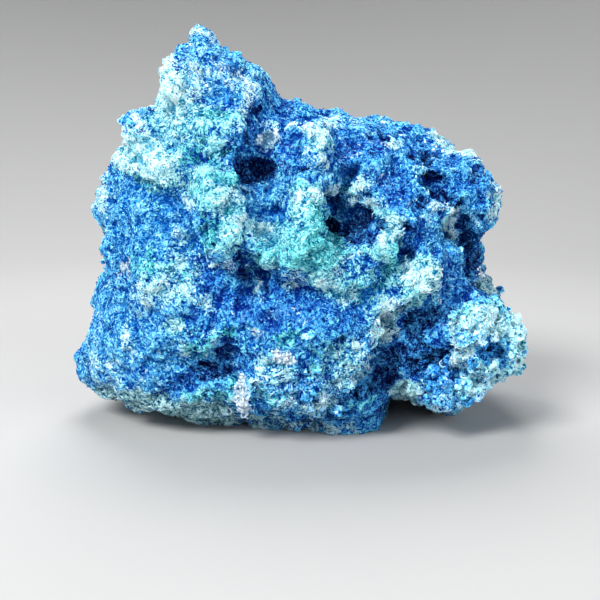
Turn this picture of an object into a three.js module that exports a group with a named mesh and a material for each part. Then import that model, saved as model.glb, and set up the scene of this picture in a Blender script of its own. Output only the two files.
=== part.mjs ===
// A hand specimen of shattuckite: one broken lump of matted blue copper silicate with pale mint
// crusts, grown as one piece. It is a closed stone with a peaked crown on its left, a shoulder knob,
// a knobbed lobe low on its right, and hollows and clefts between the crusts.
// Millimetres, +Z up. The viewer looks along +Y, +X is to the right. The stone rests on z = 0.
import * as THREE from 'three';
import { ImprovedNoise } from 'three/addons/math/ImprovedNoise.js';
import { mergeVertices } from 'three/addons/utils/BufferGeometryUtils.js';

// Driving dimensions of the stone, mm.
const HEART = new THREE.Vector3(0, 0, 33); // every ray of the surface starts here
const FRONT_DEPTH = 25; // from the heart to the front face
const BACK_DEPTH = 27;
const SQUARENESS = 2.7; // 2 is an ellipsoid, higher is blockier
const SURFACE_DETAIL = 21; // subdivisions of each icosahedron face
const FRONT_CROWDING = 0.3; // how strongly the mesh's points crowd to the front; 0 spreads them evenly
const OUTLINE_STEPS = 720;

// The outline seen from the front, [x, z], counter-clockwise from the right side's middle.
const OUTLINE = [
	[32.8, 32], [34.7, 38.6], [32.2, 42.8], [26.6, 46.6], [21, 49.6], [14.5, 51.8], [7.5, 53], [-0.5, 55.2],
	[-4, 56.6], [-6, 60.4], [-10.2, 63], [-15, 65], [-17.2, 67.8], [-18.8, 65.6], [-20.8, 64.6],
	[-22.6, 60.6], [-23.4, 57], [-25.4, 54.4], [-30.4, 52.7], [-31.6, 48.8], [-33.6, 46.2], [-34.4, 41.5],
	[-34.9, 36], [-35.4, 28], [-37, 22.5], [-37.6, 17], [-39, 11.5], [-39, 7.4], [-36.4, 4],
	[-28, 1], [-17, -2], [-8, -3], [6, -4], [13.5, -4], [15.5, 0.5], [17.5, 4.8], [22, 2.2], [27.3, 1],
	[30.8, 3.6], [34.2, 7], [38, 9.2], [39.6, 13.6], [38.4, 17.4], [34.6, 20.6], [33, 26],
];

// The plain lump that the peak, the lobe and the notches belong to. The outline passes into it towards
// the back, and less soon towards the front, so that they stand up as a peak and a knob.
const LUMP_OUTLINE = [
	[33, 30], [31, 40], [24, 47], [13, 50], [2, 52], [-8, 54], [-17, 55], [-25, 51], [-31, 44], [-33.5, 35],
	[-35, 24], [-36.5, 13], [-34, 4], [-22, -2], [-4, -4], [12, -4], [24, -1], [32, 6], [36, 14], [35, 22],
];
const PASSES_BACK = [0.0, 0.45]; // how far a ray points backwards where that starts and where it is done
const PASSES_FRONT = [0.4, 0.8]; // and how far forwards

// What stands out of the stone or sinks into it, face by face. Each row: the place on that face
// (x, z on the front and back, y, z on the sides, x, y on the top), the half width and half height,
// the turn in degrees, the rise (below 0 for a hollow), and how soft its edge is.
const RELIEF = {
	front: [
		{ name: 'crown block', at: [-13, 54], half: [7.5, 7.5], turn: -10, rise: 2, edge: 0.4 },
		{ name: 'crown cheek', at: [-17, 56.5], half: [3, 5], turn: 10, rise: 1.2, edge: 0.5 },
		{ name: 'crown dent', at: [-10.5, 57], half: [2.8, 2.2], turn: -30, rise: -1.4, edge: 0.6 },
		{ name: 'crown crease', at: [-6.4, 49], half: [1.3, 5], turn: -4, rise: -3, edge: 0.6 },
		{ name: 'shoulder knob', at: [-25, 51], half: [3, 3], turn: 0, rise: 2, edge: 0.4 },
		{ name: 'mint crest', at: [-23.5, 45.5], half: [7.5, 3.6], turn: -18, rise: 2.4, edge: 0.4 },
		{ name: 'mint ridge', at: [-11.8, 38], half: [4.6, 7], turn: 0, rise: 3, edge: 0.45 },
		{ name: 'ridge foot', at: [-8.5, 32], half: [4.4, 2.6], turn: -20, rise: 2.4, edge: 0.5 },
		{ name: 'blue hollow', at: [-5.2, 39.5], half: [3.6, 6.4], turn: 0, rise: -3.2, edge: 0.35 },
		{ name: 'pit under the crown', at: [-7.4, 44.5], half: [1.8, 3], turn: 14, rise: -3.6, edge: 0.5 },
		{ name: 'mint knob', at: [0.3, 36.8], half: [3, 5.4], turn: -6, rise: 3, edge: 0.8 },
		{ name: 'deep hole', at: [8, 37.6], half: [3, 3.6], turn: -30, rise: -6.5, edge: 0.5 },
		{ name: 'hole above', at: [5.2, 40.6], half: [1.8, 1.8], turn: 0, rise: -4.6, edge: 0.5 },
		{ name: 'hole foot', at: [5.2, 35], half: [1.6, 2.6], turn: 0, rise: -3.6, edge: 0.5 },
		{ name: 'mint lump', at: [12.6, 34.2], half: [2.6, 4.4], turn: -24, rise: 2.6, edge: 0.6 },
		{ name: 'mint shelf', at: [3.4, 29.8], half: [7, 3.6], turn: -8, rise: 2, edge: 0.6 },
		{ name: 'upper mass', at: [6, 47.6], half: [9, 4.4], turn: -10, rise: 1.4, edge: 0.5 },
		{ name: 'pale boss', at: [2, 46.6], half: [2.4, 3.4], turn: 0, rise: 1.8, edge: 0.4 },
		{ name: 'upper pit', at: [7, 43], half: [1.6, 1.3], turn: 30, rise: -3.2, edge: 0.5 },
		{ name: 'right ridge', at: [18, 35.4], half: [3.6, 6.4], turn: 10, rise: 2, edge: 0.4 },
		{ name: 'right block', at: [25.4, 40.4], half: [3.6, 5.2], turn: 10, rise: 2, edge: 0.4 },
		{ name: 'right pit', at: [20.7, 41.5], half: [2.3, 1.5], turn: 0, rise: -4.2, edge: 0.5 },
		{ name: 'small pit', at: [19.8, 46], half: [1.1, 1.5], turn: 0, rise: -2.6, edge: 0.5 },
		{ name: 'right crevice', at: [27, 32.4], half: [1.7, 6], turn: 22, rise: -6.5, edge: 0.5 },
		{ name: 'right spur', at: [24, 28.4], half: [3, 4], turn: 16, rise: 1.6, edge: 0.4 },
		{ name: 'mint boss', at: [18.2, 27], half: [3.4, 3.8], turn: -24, rise: 2.4, edge: 0.4 },
		{ name: 'dark gap', at: [15.4, 32.2], half: [1.2, 2.4], turn: 10, rise: -3, edge: 0.5 },
		{ name: 'upper cleft', at: [17.4, 22], half: [4.6, 1.8], turn: 44, rise: -5, edge: 0.5 },
		{ name: 'lower cleft', at: [13.4, 14.8], half: [7.4, 2.6], turn: 44, rise: -8, edge: 0.5 },
		{ name: 'tongue in the cleft', at: [19.8, 18], half: [3.8, 1.3], turn: 26, rise: 2.4, edge: 0.5 },
		{ name: 'right lobe', at: [28, 18.6], half: [6, 5.6], turn: 0, rise: 3.2, edge: 0.35 },
		{ name: 'lobe pit', at: [28.6, 17], half: [2.6, 1.4], turn: 44, rise: -3, edge: 0.5 },
		{ name: 'lobe fringe', at: [23.4, 10], half: [5, 2.6], turn: 20, rise: 2, edge: 0.4 },
		{ name: 'lower bulge', at: [2.6, 14.8], half: [10, 8], turn: 0, rise: 2.4, edge: 0.4 },
		{ name: 'blue band', at: [0, 22], half: [9, 2.6], turn: -4, rise: 1.2, edge: 0.5 },
		{ name: 'dark row', at: [-1.2, 26.2], half: [3.2, 1.3], turn: -8, rise: -2.6, edge: 0.5 },
		{ name: 'dark step', at: [-7.8, 29.4], half: [2, 2.6], turn: 20, rise: -3, edge: 0.5 },
		{ name: 'dark spot', at: [-8.6, 25], half: [1.4, 1.8], turn: 0, rise: -2, edge: 0.5 },
		{ name: 'left slab', at: [-26, 31], half: [6.4, 9.4], turn: 4, rise: 1.4, edge: 0.25 },
		{ name: 'pale hump', at: [-19.8, 26.6], half: [5, 4.4], turn: 0, rise: 1.2, edge: 0.5 },
		{ name: 'low hollow', at: [-14.6, 14.6], half: [4.8, 1.9], turn: 12, rise: -4.4, edge: 0.4 },
		{ name: 'low dark leaf', at: [-11.6, 18.2], half: [2.2, 1.3], turn: 30, rise: -1.8, edge: 0.5 },
		{ name: 'lower dent', at: [-21.2, 11.8], half: [4, 1.3], turn: -4, rise: -2.2, edge: 0.5 },
		{ name: 'bottom rim', at: [-20, 5.4], half: [11, 1.9], turn: -8, rise: 1.2, edge: 0.5 },
		{ name: 'quartz boss', at: [-9.2, 9.4], half: [1.7, 3.2], turn: 8, rise: 1.8, edge: 0.5 },
		{ name: 'lower pit', at: [6.2, 8], half: [3, 1.3], turn: 0, rise: -2.2, edge: 0.5 },
	],
	back: [
		{ name: 'back ridge', at: [-15, 44], half: [5, 12], turn: 14, rise: 2.6, edge: 0.4 },
		{ name: 'back hollow', at: [5, 38], half: [9, 7], turn: -16, rise: -4, edge: 0.4 },
		{ name: 'back boss', at: [20, 31], half: [7, 7.6], turn: 10, rise: 3, edge: 0.4 },
		{ name: 'back cleft', at: [-5, 22], half: [13, 2.4], turn: 24, rise: -4.6, edge: 0.5 },
		{ name: 'back pit', at: [-26, 28], half: [4, 3], turn: 30, rise: -3.6, edge: 0.5 },
		{ name: 'back knob', at: [-27, 14], half: [6, 5], turn: 0, rise: 2.6, edge: 0.4 },
		{ name: 'back lump', at: [11, 12], half: [9, 6.4], turn: -10, rise: 2.6, edge: 0.5 },
		{ name: 'back dimple', at: [3, 47], half: [3, 2.4], turn: 0, rise: -2.4, edge: 0.6 },
		{ name: 'back ledge', at: [27, 12], half: [6, 3], turn: 8, rise: 2, edge: 0.4 },
		{ name: 'back low hollow', at: [-10, 9], half: [6, 3], turn: -12, rise: -3, edge: 0.5 },
	],
	left: [
		{ name: 'left ledge', at: [2, 39], half: [11, 4.4], turn: 10, rise: 1.6, edge: 0.4 },
		{ name: 'left hollow', at: [5, 26], half: [7, 5], turn: -14, rise: -3, edge: 0.5 },
		{ name: 'left foot', at: [0, 11], half: [13, 4.4], turn: 4, rise: 1.4, edge: 0.4 },
		{ name: 'left pit', at: [-8, 30], half: [2, 3.4], turn: 10, rise: -1.8, edge: 0.5 },
		{ name: 'left rear lump', at: [15, 19], half: [5, 5], turn: 0, rise: 2, edge: 0.5 },
	],
	right: [
		{ name: 'shadowed recess', at: [2, 30], half: [11, 5], turn: -10, rise: -3, edge: 0.5 },
		{ name: 'right shoulder', at: [7, 43], half: [9, 5], turn: 0, rise: 2, edge: 0.4 },
		{ name: 'rear lump', at: [14, 19], half: [6, 5.4], turn: 0, rise: 2.4, edge: 0.5 },
		{ name: 'under the lobe', at: [4, 5], half: [9, 3], turn: 0, rise: -2, edge: 0.5 },
	],
	top: [
		{ name: 'crown tip', at: [-17.4, -1], half: [1.8, 2.4], turn: 0, rise: 1.6, edge: 0.8 },
		{ name: 'saddle', at: [-1, 8], half: [5, 9], turn: 10, rise: -2.6, edge: 0.5 },
		{ name: 'top ridge', at: [14, -5], half: [11, 3.6], turn: -8, rise: 1.4, edge: 0.5 },
		{ name: 'top hollow', at: [16, 11], half: [7, 5], turn: 20, rise: -3, edge: 0.5 },
		{ name: 'rear crown step', at: [-17, 12], half: [6, 4], turn: 0, rise: -3, edge: 0.4 },
	],
};

// How squarely each face meets a direction from the heart, and that face's two axes. A face's relief
// fades in between the two shares.
const FACE_STARTS = 0.05;
const FACE_FULL = 0.3;
const FACES = {
	front: { facing: (d) => -d.y, place: (p) => [p.x, p.z] },
	back: { facing: (d) => d.y, place: (p) => [p.x, p.z] },
	left: { facing: (d) => -d.x, place: (p) => [p.y, p.z] },
	right: { facing: (d) => d.x, place: (p) => [p.y, p.z] },
	top: { facing: (d) => d.z, place: (p) => [p.x, p.y] },
};

// Rough breakage over everything: [size, height], mm. The swells are broad; the lumps are rounded
// with sharp creases between them.
const SWELLS = [[15, 1.8]];
const LUMPS = [[9, 1.4], [4.6, 0.8], [2.6, 0.5]];
const CREASE_SHARE = 0.5; // of a lump's height that its creases lie below the plain surface
const NOISE_PLACE = new THREE.Vector3(7.3, 3.1, 5.7); // which stretch of the noise the stone takes

const noise = new ImprovedNoise();

// An outline's distance from the heart at each angle, as a list sorted by angle.
function polarOutline(outline) {
	const points = outline.map(([x, z]) => new THREE.Vector2(x, z));
	const closed = new THREE.SplineCurve([...points, points[0]]);
	return closed.getPoints(OUTLINE_STEPS)
		.map((p) => {
			const x = p.x - HEART.x;
			const z = p.y - HEART.z;
			return { angle: Math.atan2(z, x), reach: Math.hypot(x, z) };
		})
		.sort((a, b) => a.angle - b.angle);
}

const seenPolar = polarOutline(OUTLINE);
const lumpPolar = polarOutline(LUMP_OUTLINE);

function outlineReach(polar, angle) {
	let after = polar.findIndex((p) => p.angle > angle);
	if (after < 0) after = 0;
	const b = polar[after];
	const a = polar[(after + polar.length - 1) % polar.length];
	const span = THREE.MathUtils.euclideanModulo(b.angle - a.angle, 2 * Math.PI);
	const along = THREE.MathUtils.euclideanModulo(angle - a.angle, 2 * Math.PI);
	return THREE.MathUtils.lerp(a.reach, b.reach, span > 0 ? Math.min(along / span, 1) : 0);
}

// The plain blocky pebble under the relief: the outline, thinning to the front and back depths.
function pebbleReach(d) {
	const across = Math.hypot(d.x, d.z);
	const angle = Math.atan2(d.z, d.x);
	const depth = d.y < 0 ? FRONT_DEPTH : BACK_DEPTH;
	const passed = THREE.MathUtils.smoothstep(Math.abs(d.y), ...(d.y < 0 ? PASSES_FRONT : PASSES_BACK));
	const outline = THREE.MathUtils.lerp(outlineReach(seenPolar, angle), outlineReach(lumpPolar, angle), passed);
	const flat = across / outline;
	const deep = Math.abs(d.y) / depth;
	return (flat ** SQUARENESS + deep ** SQUARENESS) ** (-1 / SQUARENESS);
}

// 1 at a feature's middle, 0 past its edge; a small edge makes a steep side and a flat top.
function cover(feature, [u, v]) {
	const turn = THREE.MathUtils.degToRad(feature.turn);
	const du = u - feature.at[0];
	const dv = v - feature.at[1];
	const across = (du * Math.cos(turn) + dv * Math.sin(turn)) / feature.half[0];
	const along = (dv * Math.cos(turn) - du * Math.sin(turn)) / feature.half[1];
	const edge = 1 + feature.edge / 2;
	return 1 - THREE.MathUtils.smoothstep(Math.hypot(across, along), edge - feature.edge, edge);
}

function reliefRise(d, p) {
	let rise = 0;
	for (const [face, features] of Object.entries(RELIEF)) {
		const { facing, place } = FACES[face];
		const acts = THREE.MathUtils.smoothstep(facing(d), FACE_STARTS, FACE_FULL);
		if (acts > 0) for (const f of features) rise += acts * f.rise * cover(f, place(p));
	}
	return rise;
}

function roughness(p, size) {
	const at = p.clone().divideScalar(size).add(NOISE_PLACE);
	return noise.noise(at.x, at.y, at.z);
}

function breakageRise(p) {
	let rise = 0;
	for (const [size, height] of SWELLS) rise += height * roughness(p, size);
	for (const [size, height] of LUMPS) rise += height * (2 * Math.abs(roughness(p, size)) - CREASE_SHARE);
	return rise;
}

// The stone: a fine ball whose points are crowded towards the front, then moved along their rays to
// the surface. Where a ray passes below the resting face, its point stays on that face.
function stoneGeometry() {
	const ball = new THREE.IcosahedronGeometry(1, SURFACE_DETAIL);
	ball.deleteAttribute('normal');
	ball.deleteAttribute('uv');
	const geometry = mergeVertices(ball);
	const place = geometry.getAttribute('position');
	const d = new THREE.Vector3();
	const p = new THREE.Vector3();
	for (let i = 0; i < place.count; i++) {
		d.fromBufferAttribute(place, i).normalize();
		d.y -= FRONT_CROWDING;
		d.normalize();
		const reach = pebbleReach(d);
		p.copy(d).multiplyScalar(reach).add(HEART);
		const rise = reliefRise(d, p) + breakageRise(p);
		p.copy(d).multiplyScalar(reach + rise).add(HEART);
		if (p.z < 0) {
			p.copy(d).multiplyScalar(-HEART.z / d.z).add(HEART);
			p.z = 0;
		}
		place.setXYZ(i, p.x, p.y, p.z);
	}
	geometry.computeVertexNormals();
	return geometry;
}

const shattuckiteBlue = new THREE.MeshStandardMaterial({ color: 0x3f93cf, roughness: 0.85, metalness: 0 });
const stone = new THREE.Mesh(stoneGeometry(), shattuckiteBlue);
stone.name = 'stone';

// The origin is under the middle of the stone, on its resting face.
const box = new THREE.Box3().setFromObject(stone);
stone.position.set(-(box.min.x + box.max.x) / 2, -(box.min.y + box.max.y) / 2, 0);

const specimen = new THREE.Group();
specimen.add(stone);

export default specimen;
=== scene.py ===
# A hand specimen of shattuckite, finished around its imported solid.
import math

import bpy
import numpy as np
from mathutils import Matrix, Vector, noise


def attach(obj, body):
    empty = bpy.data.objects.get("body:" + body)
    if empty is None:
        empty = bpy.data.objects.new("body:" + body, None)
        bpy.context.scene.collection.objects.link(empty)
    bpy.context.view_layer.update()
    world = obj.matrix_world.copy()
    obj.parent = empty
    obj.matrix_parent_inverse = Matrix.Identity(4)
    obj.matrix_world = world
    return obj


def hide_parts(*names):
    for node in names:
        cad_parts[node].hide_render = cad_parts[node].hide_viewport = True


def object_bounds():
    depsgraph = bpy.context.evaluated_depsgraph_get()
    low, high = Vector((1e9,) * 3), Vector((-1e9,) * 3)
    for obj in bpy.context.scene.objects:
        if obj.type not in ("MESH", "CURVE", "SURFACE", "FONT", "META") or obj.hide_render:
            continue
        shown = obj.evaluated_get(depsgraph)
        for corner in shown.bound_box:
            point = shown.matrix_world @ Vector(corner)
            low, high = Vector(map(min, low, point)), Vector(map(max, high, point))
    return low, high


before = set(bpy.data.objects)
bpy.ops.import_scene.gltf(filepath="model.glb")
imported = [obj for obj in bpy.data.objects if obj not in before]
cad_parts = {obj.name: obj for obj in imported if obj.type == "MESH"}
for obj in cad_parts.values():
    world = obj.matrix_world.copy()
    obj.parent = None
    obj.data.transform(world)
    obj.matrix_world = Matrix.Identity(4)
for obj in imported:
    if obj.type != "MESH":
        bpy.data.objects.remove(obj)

cad_low, cad_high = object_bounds()
bpy.context.scene.view_settings.view_transform = "Standard"

# Viewpoint. The stone is seen from the front, a little above its middle, close enough for its near
# faces to look larger. The places of the colours below are given as they show from here.
MM = 0.001
EYE = np.array([0.71, -147.82, 44.3])  # mm
LENS_MM = 49.1
TIP_DOWN_DEG = 9.17

bpy.ops.object.select_all(action="DESELECT")
bpy.ops.object.camera_add(
    location=EYE * MM, rotation=(math.radians(90 - TIP_DOWN_DEG), 0, 0)
)
camera = bpy.context.active_object
camera.data.lens = LENS_MM
camera.data.clip_start = 0.01
bpy.context.scene.camera = camera

# The stone's skin: one broken lump of massive shattuckite, a copper silicate, grown as one piece and
# broken out of its vein. Its surface is matted fibre, so it lies a little inside the solid, and the
# fibres rooted on it reach out to where the solid ends.
FIBRE_ROOM = 0.35  # mm between the skin and the solid
SKIN_GRAIN = 0.5  # mm between the points of the skin


def apply(kind, **settings):
    """Adds a modifier to the active object and applies it."""
    bpy.ops.object.modifier_add(type=kind)
    modifier = bpy.context.active_object.modifiers[-1]
    for name, value in settings.items():
        setattr(modifier, name, value)
    bpy.ops.object.modifier_apply(modifier=modifier.name)


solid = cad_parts["stone"]
skin = bpy.data.objects.new("matted_stone", solid.data.copy())
bpy.context.scene.collection.objects.link(skin)
bpy.ops.object.select_all(action="DESELECT")
skin.select_set(True)
bpy.context.view_layer.objects.active = skin
bpy.ops.object.mode_set(mode="EDIT")
bpy.ops.mesh.select_all(action="SELECT")
bpy.ops.mesh.remove_doubles(threshold=0.001 * MM)
bpy.ops.object.mode_set(mode="OBJECT")
apply("SUBSURF", levels=1, render_levels=1)
apply("REMESH", mode="VOXEL", voxel_size=SKIN_GRAIN * MM)


def points_of(mesh, what="vertices", field="co"):
    """A mesh's points or normals as rows of three numbers."""
    rows = getattr(mesh, what)
    values = np.zeros(len(rows) * 3, np.float32)
    rows.foreach_get(field, values)
    return values.reshape(-1, 3).astype(float)


def lumps(points, size, shift=0.0):
    """Smooth noise at each point, about -1 to 1, with lumps of about this size in mm."""
    return np.array([noise.noise(p) for p in (points / size + shift).tolist()])


noise.seed_set(8)  # without a seed, swirl gives other directions on every run


def swirl(points, size, shift=0.0):
    """A smoothly wandering direction at each point."""
    return np.array([noise.noise_vector(p) for p in (points / size + shift).tolist()])


def step(values, low, high):
    """0 below low, 1 above high, smooth between."""
    share = np.clip((values - low) / (high - low), 0, 1)
    return share * share * (3 - 2 * share)


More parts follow.
